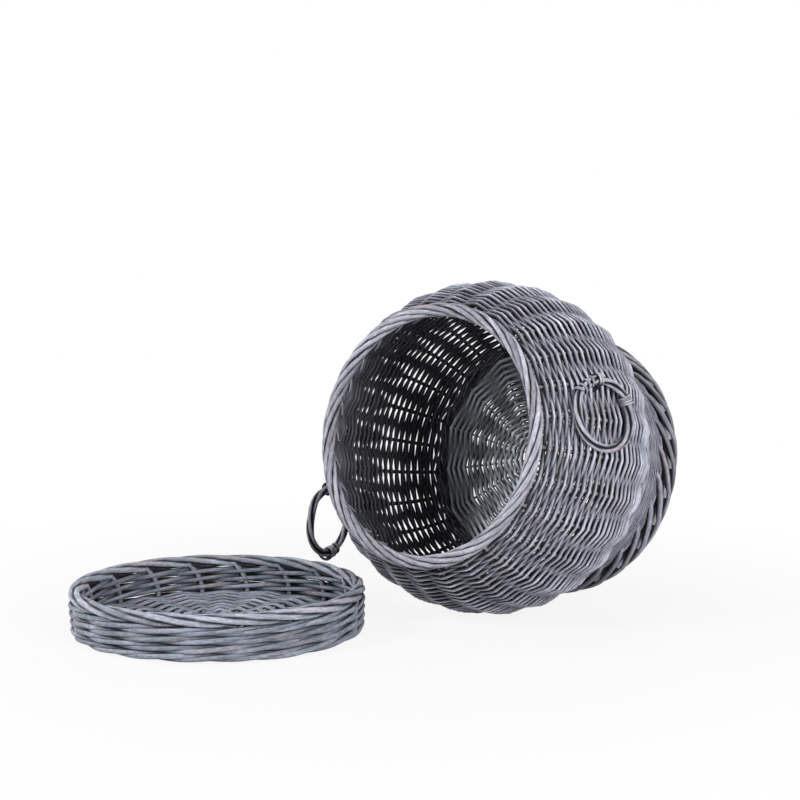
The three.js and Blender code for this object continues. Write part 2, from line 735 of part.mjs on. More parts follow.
const lidRoll = rim(lidCrest, LID_BORDER_WIDTH, LID_BORDER_HEIGHT, 0, 3 * LID_STAKE_COUNT,
  LID_WALE_HEIGHT + CLEARANCE);
const lidBorder = stakedBorder(lidRoll, lidWall, lidBottom, lidTop,
  LID_WALE_LIFT, LID_WALE_HEIGHT + LID_BORDER_HEIGHT / 2);
lid.add(piece("lid_border", lidBorder, COLOURS.border));

// Place of the lid: out from under the middle of the foot, on a bearing, until it is clear of the basket and its rings
const lidHeight = LID_WALE_HEIGHT + CLEARANCE + LID_BORDER_HEIGHT;
const bearing = polar(1, radians(LID_BEARING));
let lidDistance = 0;
for (const mesh of basket.children) {
  const corners = mesh.geometry.attributes.position;
  for (let i = 0; i < corners.count; i += 1) {
    const place = new THREE.Vector3().fromBufferAttribute(corners, i);
    place.add(mesh.position).applyMatrix4(basket.matrixWorld);
    const flat = new THREE.Vector2(place.x, place.y);
    const spare = (lidCrest + LID_GAP) ** 2 - flat.cross(bearing) ** 2;
    if (place.z < lidHeight + LID_GAP && spare > 0) {
      lidDistance = Math.max(lidDistance, flat.dot(bearing) + Math.sqrt(spare));
    }
  }
}
lid.position.set(bearing.x * lidDistance, bearing.y * lidDistance, 0);

// Whole object, with its origin on the floor at the middle of its box
const laundryBasket = new THREE.Group();
laundryBasket.add(basket, lid);
laundryBasket.updateMatrixWorld(true);
const box = new THREE.Box3().setFromObject(laundryBasket, true);
const middle = box.getCenter(new THREE.Vector3());
laundryBasket.position.set(-middle.x, -middle.y, -box.min.z);
laundryBasket.updateMatrixWorld(true);

export default laundryBasket;
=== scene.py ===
import json
import math

import bpy
import numpy as np
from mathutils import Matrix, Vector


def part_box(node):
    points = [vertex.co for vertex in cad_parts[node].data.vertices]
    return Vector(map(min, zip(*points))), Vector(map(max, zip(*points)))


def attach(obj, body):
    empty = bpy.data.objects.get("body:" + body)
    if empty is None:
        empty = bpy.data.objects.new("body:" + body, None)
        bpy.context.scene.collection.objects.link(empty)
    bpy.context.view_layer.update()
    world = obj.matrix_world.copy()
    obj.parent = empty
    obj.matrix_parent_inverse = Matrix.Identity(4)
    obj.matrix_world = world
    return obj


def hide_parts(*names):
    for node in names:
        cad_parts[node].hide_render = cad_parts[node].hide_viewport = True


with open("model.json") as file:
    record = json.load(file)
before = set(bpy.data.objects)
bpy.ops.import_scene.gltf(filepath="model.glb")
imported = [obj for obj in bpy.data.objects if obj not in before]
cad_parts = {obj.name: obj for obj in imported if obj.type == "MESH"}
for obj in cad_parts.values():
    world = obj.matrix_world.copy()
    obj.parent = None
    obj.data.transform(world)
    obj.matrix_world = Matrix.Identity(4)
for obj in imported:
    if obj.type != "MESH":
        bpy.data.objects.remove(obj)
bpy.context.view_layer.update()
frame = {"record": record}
bpy.ops.object.select_all(action="DESELECT")


# Base sticks: four slit willow sticks with four more pushed through them make the cross
# in the middle of the base. Their ends are opened out into sixteen spokes, which the
# base is woven on. The basket lies on its side, so all its pieces are laid along its axis.
def middle_of(node):
    """The middle of a CAD node's box."""
    return np.mean([np.array(corner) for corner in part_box(node)], axis=0)


mounts = {mount["name"]: mount for mount in frame["record"]["mounts"]}
basket_axis = -np.array(mounts["standing_face"]["axis"], dtype=float)
basket_side = np.array([1.0, 0.0, 0.0])
basket_up = np.cross(basket_axis, basket_side)
mouth_border_height = 0.3263
basket_foot = middle_of("mouth_border") - basket_axis * mouth_border_height
rods_rng = np.random.default_rng(28)
rod_unit = 0.001
# A rod's flanks keep only this share of its rub: painted shade down the sides of every rod.
painted_flank_shade = 0.05


def in_basket(radius, angle, height):
    """Points at a distance from the basket's axis, an angle round it and a height above its foot."""
    radius, angle, height = np.broadcast_arrays(radius, angle, height)
    across = radius * np.cos(angle)
    upward = radius * np.sin(angle)
    return (basket_foot + across[:, None] * basket_side + upward[:, None] * basket_up
            + height[:, None] * basket_axis)


def out_from_axis(angle):
    """The way straight out from the basket's axis, at angles round it."""
    return np.cos(angle)[:, None] * basket_side + np.sin(angle)[:, None] * basket_up


def lay_rods(name, runs, closed=False, rounding=2, within=0.22, crest=0.55):
    """Lays willow rods along runs of (points, radius, rub, facing) and makes them one mesh. The
    rub is wear together with painted shade and painted highlight.

    Each rod keeps its own length and roundness in rod_place, for the grain, its own tone in
    rod_tone, and in rod_wear_and_shade its painted light: lightest, as wear and painted highlight, where
    a place stands out of the weave and is turned the way that the weave faces there, and painted
    dark on its flanks as shade. The higher crest is, the narrower is the painted highlight. On
    the weave's back all is painted darker, as shade: the strokes that lie deep get only the
    share that within gives, the others less."""
    curve = bpy.data.curves.new(name, "CURVE")
    curve.dimensions = "3D"
    curve.bevel_depth = rod_unit
    curve.bevel_resolution = rounding
    sides = 4 + 2 * rounding
    turn = np.arange(sides) * 2 * math.pi / sides
    places, tones, wear_and_shade_lists, middles, facings = [], [], [], [], []
    for points, radius, wear_and_shade, facing in runs:
        points = np.asarray(points, dtype=float)
        count = len(points)
        radius = np.broadcast_to(np.asarray(radius, dtype=float), count)
        wear_and_shade = np.broadcast_to(np.asarray(wear_and_shade, dtype=float), count)
        spline = curve.splines.new("POLY")
        spline.points.add(count - 1)
        spline.points.foreach_set("co", np.column_stack([points, np.ones(count)]).ravel())
        spline.points.foreach_set("radius", radius / rod_unit)
        spline.use_cyclic_u = closed
        steps = np.linalg.norm(np.diff(points, axis=0), axis=1)
        grain_start = rods_rng.uniform(0.0, 40.0)
        along = np.concatenate([[0.0], np.cumsum(steps)]) + grain_start
        place = np.empty((count, sides, 3))
        place[:, :, 0] = along[:, None]
        place[:, :, 1] = radius[:, None] * np.cos(turn)
        place[:, :, 2] = radius[:, None] * np.sin(turn)
        places.append(place.reshape(-1, 3))
        tones.append(np.full(count * sides, rods_rng.uniform(0.0, 1.0)))
        wear_and_shade_lists.append(np.repeat(wear_and_shade, sides))
        middles.append(np.repeat(points, sides, axis=0))
        facings.append(np.repeat(np.broadcast_to(facing, (count, 3)), sides, axis=0))
    rods = bpy.data.objects.new(name, curve)
    bpy.context.collection.objects.link(rods)
    bpy.ops.object.select_all(action="DESELECT")
    rods.select_set(True)
    bpy.context.view_layer.objects.active = rods
    bpy.ops.object.convert(target="MESH")
    rods = bpy.context.view_layer.objects.active
    rods.name = name
    if not closed:
        bpy.ops.object.mode_set(mode="EDIT")
        bpy.ops.mesh.select_all(action="SELECT")
        bpy.ops.mesh.fill_holes(sides=sides)
        bpy.ops.object.mode_set(mode="OBJECT")
    bpy.ops.object.shade_smooth_by_angle(angle=math.radians(60))
    mesh = rods.data
    surface = np.empty(len(mesh.vertices) * 3)
    mesh.vertices.foreach_get("co", surface)
    outward = surface.reshape(-1, 3) - np.concatenate(middles)
    outward /= np.linalg.norm(outward, axis=1)[:, None]
    turned = np.sum(outward * np.concatenate(facings), axis=1)
    wear_and_shade_values = np.concatenate(wear_and_shade_lists)
    # Painted shade: the weave's back is kept dark, up to the share within gives, and each rod's flanks
    # fall dark while its crest stays light as painted highlight.
    wear_and_shade_values = np.where(turned > 0.0, wear_and_shade_values, within * (1.0 - wear_and_shade_values))
    crested = np.clip(np.abs(turned) / crest, 0.0, 1.0) ** (1.0 / (1.0 - crest))
    wear_and_shade_values = wear_and_shade_values * (painted_flank_shade + (1.0 - painted_flank_shade) * crested)
    mesh.attributes.new("rod_place", "FLOAT_VECTOR", "POINT").data.foreach_set(
        "vector", np.concatenate(places).ravel())
    mesh.attributes.new("rod_tone", "FLOAT", "POINT").data.foreach_set("value", np.concatenate(tones))
    mesh.attributes.new("rod_wear_and_shade", "FLOAT", "POINT").data.foreach_set("value", wear_and_shade_values)
    bpy.ops.object.select_all(action="DESELECT")
    return rods


def make_stained_bark():
    """The look that all the rods share: grey stain over reddish bark, worn and painted lighter where it
    stands out, as highlight, and painted darker on its flanks and in the weave's hollows, as shade.
    """
    bark = bpy.data.node_groups.new("stained_bark", "ShaderNodeTree")
    for name, kind in (("Place", "NodeSocketVector"), ("Tone", "NodeSocketFloat"),
                       ("Wear_and_shade", "NodeSocketFloat"), ("Stain", "NodeSocketColor"),
                       ("Worn_and_lit", "NodeSocketColor"), ("Bark", "NodeSocketColor")):
        bark.interface.new_socket(name, in_out="INPUT", socket_type=kind)
    for name, kind in (("Color", "NodeSocketColor"), ("Roughness", "NodeSocketFloat"),
                       ("Height", "NodeSocketFloat")):
        bark.interface.new_socket(name, in_out="OUTPUT", socket_type=kind)
    nodes, links = bark.nodes, bark.links
    given = nodes.new("NodeGroupInput")
    result = nodes.new("NodeGroupOutput")

    def noise_along_rod(stretch, detail):
        """Noise on the rod's own length and roundness, stretched along it."""
        mapping = nodes.new("ShaderNodeMapping")
        mapping.inputs["Scale"].default_value = stretch
        noise = nodes.new("ShaderNodeTexNoise")
        noise.inputs["Scale"].default_value = 1.0
        noise.inputs["Detail"].default_value = detail
        links.new(given.outputs["Place"], mapping.inputs["Vector"])
        links.new(mapping.outputs["Vector"], noise.inputs["Vector"])
        return noise.outputs["Fac"]

    def ramp(value, low, high, out_low=0.0, out_high=1.0):
        """Takes a value between two limits onto a new range."""
        map_range = nodes.new("ShaderNodeMapRange")
        map_range.inputs["From Min"].default_value = low
        map_range.inputs["From Max"].default_value = high
        map_range.inputs["To Min"].default_value = out_low
        map_range.inputs["To Max"].default_value = out_high
        links.new(value, map_range.inputs["Value"])
        return map_range.outputs["Result"]

    def combine(kind, first, second):
        """Adds or multiplies two values."""
        math_node = nodes.new("ShaderNodeMath")
        math_node.operation = kind
        for socket, value in zip(math_node.inputs, (first, second)):
            if isinstance(value, float):
                socket.default_value = value
            else:
                links.new(value, socket)
        return math_node.outputs["Value"]

    def blend_colours(mask, first, second):
        """Mixes two colours by a mask."""
        mix = nodes.new("ShaderNodeMix")
        mix.data_type = "RGBA"
        links.new(mask, mix.inputs["Factor"])
        links.new(first, mix.inputs["A"])
        links.new(second, mix.inputs["B"])
        return mix.outputs["Result"]

    streak = noise_along_rod(stretch=(150.0, 900.0, 900.0), detail=4.0)
    mottle = noise_along_rod(stretch=(38.0, 160.0, 160.0), detail=4.0)
    patch = noise_along_rod(stretch=(14.0, 60.0, 60.0), detail=2.0)
    # Where a rod stands out, the stain gives way to a lighter colour: partly wear, partly painted
    # highlight.
    wear_and_highlight = combine("MULTIPLY", ramp(given.outputs["Wear_and_shade"], 0.25, 1.0), ramp(mottle, 0.38, 0.68))
    colour = blend_colours(wear_and_highlight, given.outputs["Stain"], given.outputs["Worn_and_lit"])
    bare = combine("MULTIPLY", ramp(patch, 0.52, 0.72), ramp(streak, 0.3, 0.7, 0.25, 0.8))
    colour = blend_colours(bare, colour, given.outputs["Bark"])
    shade = combine("MULTIPLY", ramp(given.outputs["Tone"], 0.0, 1.0, 0.7, 1.24),
                    ramp(streak, 0.3, 0.7, 0.6, 1.36))
    # Painted shade and highlight: the colour falls to a twentieth in the weave's hollows and on rod
    # flanks, and rises by nearly half on the crests.
    shade = combine("MULTIPLY", shade, ramp(given.outputs["Wear_and_shade"], 0.0, 0.75, 0.05, 1.42))
    grey = nodes.new("ShaderNodeCombineColor")
    for channel in ("Red", "Green", "Blue"):
        links.new(shade, grey.inputs[channel])
    multiply = nodes.new("ShaderNodeMix")
    multiply.data_type = "RGBA"
    multiply.blend_type = "MULTIPLY"
    multiply.clamp_result = False
    multiply.inputs["Factor"].default_value = 1.0
    links.new(colour, multiply.inputs["A"])
    links.new(grey.outputs["Color"], multiply.inputs["B"])
    links.new(multiply.outputs["Result"], result.inputs["Color"])
    links.new(ramp(mottle, 0.3, 0.7, 0.62, 0.85), result.inputs["Roughness"])
    links.new(combine("ADD", combine("MULTIPLY", streak, 0.6), combine("MULTIPLY", mottle, 0.7)),
              result.inputs["Height"])
    return bark


stained_bark = make_stained_bark()


def willow_finish(name, stain, worn_and_lit, bark):
    """A willow material: the shared bark, with its painted shade and highlight, and this piece's own
    stain, worn and lit colour for the crests, and bark colour.
    """
    material = bpy.data.materials.new(name)
    material.use_nodes = True
    nodes, links = material.node_tree.nodes, material.node_tree.links
    shader = nodes["Principled BSDF"]
    shader.inputs["Specular IOR Level"].default_value = 0.18
    look = nodes.new("ShaderNodeGroup")
    look.node_tree = stained_bark
    look.inputs["Stain"].default_value = (*stain, 1.0)
    look.inputs["Worn_and_lit"].default_value = (*worn_and_lit, 1.0)
    look.inputs["Bark"].default_value = (*bark, 1.0)
    for attribute, output, socket in (("rod_place", "Vector", "Place"), ("rod_tone", "Fac", "Tone"),
                                      ("rod_wear_and_shade", "Fac", "Wear_and_shade")):
        source = nodes.new("ShaderNodeAttribute")
        source.attribute_name = attribute
        links.new(source.outputs[output], look.inputs[socket])
    bump = nodes.new("ShaderNodeBump")
    bump.inputs["Strength"].default_value = 0.6
    bump.inputs["Distance"].default_value = 0.0006
    links.new(look.outputs["Height"], bump.inputs["Height"])
    links.new(look.outputs["Color"], shader.inputs["Base Color"])
    links.new(look.outputs["Roughness"], shader.inputs["Roughness"])
    links.new(bump.outputs["Normal"], shader.inputs["Normal"])
    return material


def dress(piece, material, slot, body, *nodes):
    """Gives a finished piece its material and its body, and hides the CAD nodes that it stands for."""
    piece.data.materials.clear()
    piece.data.materials.append(material)
    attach(piece, body)
    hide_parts(*nodes)


base_height = 0.0639
base_radius = 0.1575
base_sticks_each_way = 4
stick_spacing = 0.007
stick_radius = 0.0022
stick_taper = 0.85
half_stick = 0.72
half_stick_tip = 0.6
# How light the sticks are painted in the shared wear and painted shade.
stick_wear_and_shade = 0.8
slit_length = 1.9
slit_shut = 0.45
slit_open = 1.5
spoke_pitch = math.radians(22.5)


def bent_stick(start, corner, end, count):
    """A flat path that leaves start towards corner and then runs on to end."""
    t = np.linspace(0.0, 1.0, count)[:, None]
    return (1 - t) ** 2 * start + 2 * t * (1 - t) * corner + t ** 2 * end


def spoke_path(place, reach, spacing, pitch, per_side, count=24):
    """One half of a stick, from the middle of the cross to the spoke's end."""
    offset = place - (per_side - 1) / 2
    start = np.array([0.0, offset * spacing])
    corner = np.array([per_side * spacing * 0.75, offset * spacing])
    end = reach * np.array([math.cos(offset * pitch), math.sin(offset * pitch)])
    return bent_stick(start, corner, end, count)


def cross_of_sticks(reach, spacing, pitch, per_side, radius, lay, facing):
    """The runs of a cross: the slit sticks split to let the through sticks pass."""
    runs = []
    edge = per_side * spacing / 2
    for quarter, (cos_turn, sin_turn) in enumerate(((1, 0), (0, 1), (-1, 0), (0, -1))):
        for place in range(per_side):
            path = spoke_path(place, reach, spacing, pitch, per_side)
            x = cos_turn * path[:, 0] - sin_turn * path[:, 1]
            y = sin_turn * path[:, 0] + cos_turn * path[:, 1]
            if quarter % 2:
                whole = np.linspace(radius, radius * stick_taper, len(x))
                runs.append((lay(x, y, np.zeros(len(x))), whole, stick_wear_and_shade, facing))
                continue
            opened = np.clip((edge * slit_length - path[:, 0]) / edge, 0.0, 1.0)
            lift = radius * (slit_shut + (slit_open - slit_shut) * opened)
            half = np.linspace(radius * half_stick, radius * half_stick_tip, len(x))
            for side in (1, -1):
                runs.append((lay(x, y, side * lift), half, stick_wear_and_shade, facing))
    return runs


def lay_base(x, y, lift):
    """Points on the base, given from its middle, with lift towards the mouth."""
    return in_basket(np.hypot(x, y), np.arctan2(y, x), base_height + lift)


stick_finish = willow_finish("stick_willow_bark", stain=(0.17, 0.172, 0.198),
                             worn_and_lit=(0.33, 0.333, 0.37), bark=(0.22, 0.17, 0.17))
base_sticks = lay_rods("base_stick_rods",
                       cross_of_sticks(base_radius, stick_spacing, spoke_pitch, base_sticks_each_way,
                                       stick_radius, lay_base, basket_axis))
dress(base_sticks, stick_finish, "stick_willow", "basket",
      *[f"slit_stick_{k}" for k in range(1, 5)], *[f"through_stick_{k}" for k in range(1, 5)])


# Base weave: thin willow woven round and round the spokes, first round the four bundles
# of the cross, then in front of one spoke and behind the next, out to the base's edge.
# Each row runs straight from spoke to spoke, so it turns a corner at every one.
base_rod_radius = 0.00275
base_row_pitch = 0.0042
base_swing = 0.0035
kink_sharpness = 0.999
stroke_points = 8
corner_rise = 0.027
corner_sharpness = 1.6


def kinked(phase):
    """A rod's swing round its stakes: out at even phases, in at odd ones, nearly straight between."""
    return np.arcsin(kink_sharpness * np.cos(math.pi * phase)) / math.asin(kink_sharpness)


def any_phase():
    """A random start for a rod's slow waves."""
    return rods_rng.uniform(0, 6.3)


def spoke_angles(radius, reach, spacing, pitch, per_side):
    """The angles of all the spokes where they cross a circle."""
    quarter = []
    for place in range(per_side):
        path = spoke_path(place, reach, spacing, pitch, per_side, 200)
        nearest = np.argmin(np.abs(np.hypot(path[:, 0], path[:, 1]) - radius))
        quarter.append(math.atan2(path[nearest, 1], path[nearest, 0]))
    return np.concatenate([np.array(quarter) + k * math.pi / 2 for k in range(4)])


def disc_rows(first, last, pitch, reach, spacing, spread, per_side, swing, radius, lay, facing):
    """Rows of weave on a disc: each passes its spokes by turns in front and behind."""
    runs = []
    spokes = 4 * per_side
    angle = np.linspace(0.0, 2 * math.pi, spokes * stroke_points, endpoint=False)
    for row in range(int((last - first) / pitch)):
        row_radius = first + row * pitch
        crossings = spoke_angles(row_radius, reach, spacing, spread, per_side)
        known = np.concatenate([crossings - 2 * math.pi, crossings, crossings + 2 * math.pi])
        phase = np.interp(angle, known, np.arange(-spokes, 2 * spokes))
        side = kinked(phase + row)
        wobble = 0.0004 * np.sin(3 * angle + any_phase()) + 0.0003 * np.sin(7 * angle + row)
        off_middle = 2 * np.abs(phase - np.floor(phase) - 0.5)
        corners = corner_rise * row_radius * off_middle ** corner_sharpness
        away = row_radius + corners + wobble
        runs.append((lay(away * np.cos(angle), away * np.sin(angle), swing * side),
                     radius * rods_rng.uniform(0.9, 1.08), 0.42 + 0.42 * side, facing))
    return runs


def bundle_rows(first, count, pitch, swing, radius, lay, facing):
    """The first rows of a disc, which go round the four bundles of sticks."""
    runs = []
    angle = np.linspace(0.0, 2 * math.pi, 96, endpoint=False)
    for row in range(count):
        side = np.cos(2 * angle + math.pi * row)
        corner = 1.0 + 0.07 * (1 - np.cos(4 * angle)) / 2
        away = (first + row * pitch) * corner
        runs.append((lay(away * np.cos(angle), away * np.sin(angle), swing * side), radius,
                     0.55 + 0.45 * side, facing))
    return runs


# The base's stain is much lighter than the side weave's: partly the base's own lighter tone, partly
# painted light, as the base lies in the dim inside of the basket.
base_lit_finish = willow_finish("base_weave_lit_bark", stain=(0.5, 0.54, 0.61), worn_and_lit=(0.74, 0.79, 0.87),
                            bark=(0.42, 0.38, 0.38))
base_disc = {"pitch": base_row_pitch, "reach": base_radius, "spacing": stick_spacing,
             "spread": spoke_pitch, "per_side": base_sticks_each_way, "lay": lay_base,
             "facing": basket_axis}
base_rows = bundle_rows(first=0.0195, count=4, pitch=base_row_pitch, swing=0.0032,
                        radius=base_rod_radius, lay=lay_base, facing=basket_axis)
base_rows += disc_rows(first=0.0365, last=0.122, swing=base_swing, radius=base_rod_radius, **base_disc)
base_rows += disc_rows(first=0.1215, last=0.1585, swing=0.65 * base_swing,
                       radius=1.12 * base_rod_radius, **base_disc)
base_weave = lay_rods("base_weave_rods", base_rows, closed=True, crest=0.86)
dress(base_weave, base_lit_finish, "weave_willow", "basket", "base_weave")


# Side stakes: twenty-eight upright willow rods, pushed in beside the base spokes and bent
# up. The sides are woven on them, and only small knobs of them show between the strokes.
stake_count = 28
stake_pitch = 2 * math.pi / stake_count
stake_radius = 0.0026
stake_foot = 0.0585
stake_top = 0.3195
stake_lean = 0.0022
belly_height = 0.186
belly_radius = 0.2205
belly_roundness = 2.35
waist_height = 0.084
waist_draw = 0.048
wall_top = 0.3173
mouth_draw = 0.045
wall_middle = 0.00735


def crest_radius(height):
    """The outside of the wall at a height: widest at the belly, drawn in to mouth and waist."""
    height = np.asarray(height, dtype=float)
    above = np.clip((height - belly_height) / (wall_top - belly_height), 0.0, 1.1)
    below = np.clip((belly_height - height) / (belly_height - waist_height), 0.0, 1.0)
    return belly_radius - mouth_draw * above ** belly_roundness - waist_draw * below ** belly_roundness


stake_runs = []
stake_heights = np.linspace(stake_foot, stake_top, 40)
for stake in range(stake_count):
    lean = stake_lean * np.sin(stake_heights * rods_rng.uniform(8, 16) + any_phase())
    stake_angle = stake * stake_pitch + lean
    stake_points = in_basket(crest_radius(stake_heights) - wall_middle, stake_angle, stake_heights)
    stake_runs.append((stake_points, stake_radius * rods_rng.uniform(0.92, 1.08), 0.4,
                       out_from_axis(stake_angle)))
stake_finish = willow_finish("stake_willow_bark", stain=(0.26, 0.24, 0.26), worn_and_lit=(0.46, 0.43, 0.45),
                             bark=(0.38, 0.26, 0.25))
side_stakes = lay_rods("side_stake_rods", stake_runs)
dress(side_stakes, stake_finish, "stake_willow", "basket",
      *[f"side_stake_{k:02d}" for k in range(1, stake_count + 1)])


# Upsett wale: three thick rods twisted round the stakes where the base turns up into the
# sides, each in front of two stakes and behind the third. Fine rows cover them outside.
# Above these come the first rows of the sides, loose enough to let light into the corner,
# and painted darker, as shade there.
wale_rods = 3
wale_rod_radius = 0.0027
wale_low = 0.0625
wale_rise = 0.0024
wale_inset = 0.003
wale_swing = 0.0048
cover_rows = 4
cover_low = 0.0597
cover_away = 0.1688
cover_wear_and_shade = 0.7
fine_rod_radius = 0.00115
fine_row_pitch = 0.0019
fine_swing = 0.0006
loose_rows = 3
loose_low = 0.0709
loose_pitch = 0.0048
loose_rod_radius = 0.0024
# The loose rows are painted dark, as shade in the corner.
loose_wear_and_shade = 0.24
side_swing = 0.0049


def wale_stroke(phase):
    """How far a wale rod stands out, and how it climbs, as it passes two stakes and ducks behind one."""
    place = 2 * math.pi * ((phase + 0.5) / wale_rods - 1 / wale_rods)
    out = np.clip(0.35 + np.cos(place), -1.0, 1.0)
    climb = np.sin(place)
    return out, climb


def fine_row(row, height, away, wear_and_shade):
    """One row of very fine weave, pressed tight, at a height and a distance from the axis."""
    angle = np.linspace(0.0, 2 * math.pi, stake_count * 6, endpoint=False)
    side = np.cos(math.pi * (angle / stake_pitch + row))
    height = height + 0.0003 * np.sin(5 * angle + row)
    points = in_basket(away + fine_swing * side, angle, height)
    radius = fine_rod_radius * rods_rng.uniform(0.9, 1.1)
    return points, radius, wear_and_shade * (0.8 + 0.2 * side), out_from_axis(angle)


wale_phase = np.linspace(0.0, wale_rods * stake_count, wale_rods * stake_count * 6, endpoint=False)
wale_angle = wale_phase * stake_pitch
wale_out, wale_climb = wale_stroke(wale_phase)
wale_heights = wale_low + wale_rise * wale_climb
wale_away = crest_radius(wale_heights) - wall_middle - wale_inset + wale_swing * wale_out
wale_thickness = wale_rod_radius * (1 + 0.08 * np.sin(wale_phase * 0.7))
wale_runs = [(in_basket(wale_away, wale_angle, wale_heights), wale_thickness, 0.5 + 0.5 * wale_out,
              out_from_axis(wale_angle))]
for row in range(cover_rows):
    wale_runs.append(fine_row(row, cover_low + row * fine_row_pitch, cover_away, cover_wear_and_shade))
for row in range(loose_rows):
    row_height = loose_low + row * loose_pitch
    row_angle = np.linspace(0.0, 2 * math.pi, stake_count * stroke_points, endpoint=False)
    row_side = kinked(row_angle / stake_pitch + row + 1)
    row_away = crest_radius(row_height) - wall_middle + side_swing * row_side
    wale_runs.append((in_basket(row_away, row_angle, row_height), loose_rod_radius,
                      loose_wear_and_shade + loose_wear_and_shade * row_side, out_from_axis(row_angle)))
weave_finish = willow_finish("side_weave_bark", stain=(0.264, 0.274, 0.328),
                             worn_and_lit=(0.422, 0.436, 0.508), bark=(0.28, 0.212, 0.22))
upsett_wale = lay_rods("upsett_wale_rods", wale_runs, closed=True)
dress(upsett_wale, weave_finish, "weave_willow", "basket", "upsett_wale")


# Side weave: rods randed round the stakes, in front of one and behind the next, each row
# the other way from the row below. The rows below and above the belly are two batches.
side_rod_radius = 0.00248
side_crest = 0.66
side_wander = 0.0009
lower_rows = 26
upper_rows = 30
upper_crowding = 0.14
waist_shade = 0.03
slope_step = 0.001
bend_places = np.array([0.0, 0.05, 0.16, 0.33, 0.5, 0.67, 0.84, 0.95])
profile_heights = np.linspace(waist_height, wall_top, 600)
profile_steps = np.hypot(np.diff(profile_heights), np.diff(crest_radius(profile_heights)))
profile_lengths = np.concatenate([[0.0], np.cumsum(profile_steps)])
belly_length = np.interp(belly_height, profile_heights, profile_lengths)


def side_row(row, length):
    """One row of the side weave, at a length up the wall's profile."""
    angle = (np.arange(stake_count)[:, None] + bend_places).ravel() * stake_pitch
    side = kinked(angle / stake_pitch + row)
    wobble = np.zeros_like(angle)
    for waves in (2, 5, 9):
        wobble += rods_rng.uniform(0.1, 0.35) * np.sin(waves * angle + any_phase())
    height = np.interp(length + side_wander * wobble, profile_lengths, profile_heights)
    slope = (crest_radius(height + slope_step) - crest_radius(height - slope_step)) / (2 * slope_step)
    slant = np.sqrt(1 + slope ** 2)
    swing = side_swing * side * (1 + 0.08 * np.sin(4 * angle + row))
    away = crest_radius(height) - wall_middle + swing / slant
    thickness = side_rod_radius * rods_rng.uniform(0.92, 1.1)
    thickness = thickness * (1 + 0.09 * np.sin(angle + any_phase()))
    points = in_basket(away, angle, height - swing * slope / slant)
    # Rows just above the waist are painted darker, as shade under the belly.
    near_waist = np.clip(1.0 - length / waist_shade, 0.0, 1.0)
    wear_and_shade = (0.5 + 0.5 * side) * (1.0 - 0.5 * near_waist)
    return points, thickness, wear_and_shade, out_from_axis(angle)


lower_lengths = (np.arange(lower_rows) + 0.6) / lower_rows * belly_length
upper_part = (np.arange(upper_rows) + 0.5) / upper_rows
upper_part = (1 + upper_crowding) * upper_part - upper_crowding * upper_part ** 2
upper_lengths = belly_length + (profile_lengths[-1] - belly_length) * upper_part
for part, lengths in (("lower", lower_lengths), ("upper", upper_lengths)):
    side_weave = lay_rods(f"{part}_side_weave_rods",
                          [side_row(row, length) for row, length in enumerate(lengths)],
                          closed=True, crest=side_crest)
    dress(side_weave, weave_finish, "weave_willow", "basket", f"{part}_side_weave")


# Mouth border: the stakes' tops, bent over and rolled along the mouth. Each comes up
# inside, lies over the top in a long slanting stroke, and goes back in under the rim,
# where its cut tip shows.
mouth_border_radius = 0.162
mouth_ring = 0.0058
mouth_rod_radius = 0.0033
mouth_core_radius = 0.0038
mouth_sweep = stake_pitch * 5.0
tip_steps = np.array([0.02, 0.05, 0.08, 0.11, 0.14])
tip_away = np.array([0.1605, 0.1575, 0.1555, 0.1545, 0.154])
tip_heights = mouth_border_height - np.array([0.0075, 0.0085, 0.009, 0.0095, 0.0102])


def rolled_strand(start_angle, sweep, middle_radius, middle_height, ring, from_turn, to_turn, count, lay):
    """A border rod that rolls round the border's middle while it runs along it, and the way it faces."""
    t = np.linspace(0.0, 1.0, count)
    angle = start_angle + sweep * t
    turn = from_turn + (to_turn - from_turn) * t
    reach = ring * (1 + 0.05 * np.sin(9 * t + start_angle * 5))
    strand = lay(middle_radius + reach * np.cos(turn), angle, middle_height + reach * np.sin(turn))
    facing = strand - lay(middle_radius, angle, middle_height)
    return strand, facing / np.linalg.norm(facing, axis=1)[:, None]


mouth_runs = []
for stake in range(stake_count):
    strand_start = stake * stake_pitch + rods_rng.uniform(-0.02, 0.02)
    strand, strand_facing = rolled_strand(strand_start, mouth_sweep, mouth_border_radius,
                                          mouth_border_height, mouth_ring, math.radians(235),
                                          math.radians(-95), 44, in_basket)
    tip_angle = strand_start + mouth_sweep + tip_steps
    strand = np.concatenate([strand, in_basket(tip_away, tip_angle, tip_heights)])
    strand_facing = np.concatenate([strand_facing, -out_from_axis(tip_angle)])
    along_strand = np.linspace(0, 1, len(strand))
    strand_radius = np.interp(along_strand, [0, 0.1, 0.75, 1.0], [0.95, 1.05, 0.95, 0.5])
    strand_radius = strand_radius * mouth_rod_radius * rods_rng.uniform(0.92, 1.08)
    # Painted shade where a strand comes up inside and where its tip goes back in under the rim; over the
    # top it is lighter, as wear and painted highlight.
    strand_wear_and_shade = np.interp(along_strand, [0, 0.25, 0.6, 1], [0.45, 0.95, 1, 0.5])
    mouth_runs.append((strand, strand_radius, strand_wear_and_shade, strand_facing))
core_angle = np.linspace(0.0, 2 * math.pi, 160)
core_facing = out_from_axis(core_angle)
# The core inside the roll is painted dark all over, as shade.
mouth_runs.append((in_basket(mouth_border_radius, core_angle, mouth_border_height), mouth_core_radius,
                   0.0, core_facing))
border_finish = willow_finish("border_willow_bark", stain=(0.186, 0.192, 0.226),
                              worn_and_lit=(0.305, 0.313, 0.362), bark=(0.31, 0.245, 0.25))
mouth_border = lay_rods("mouth_border_rods", mouth_runs, crest=0.4)
dress(mouth_border, border_finish, "border_willow", "basket", "mouth_border")


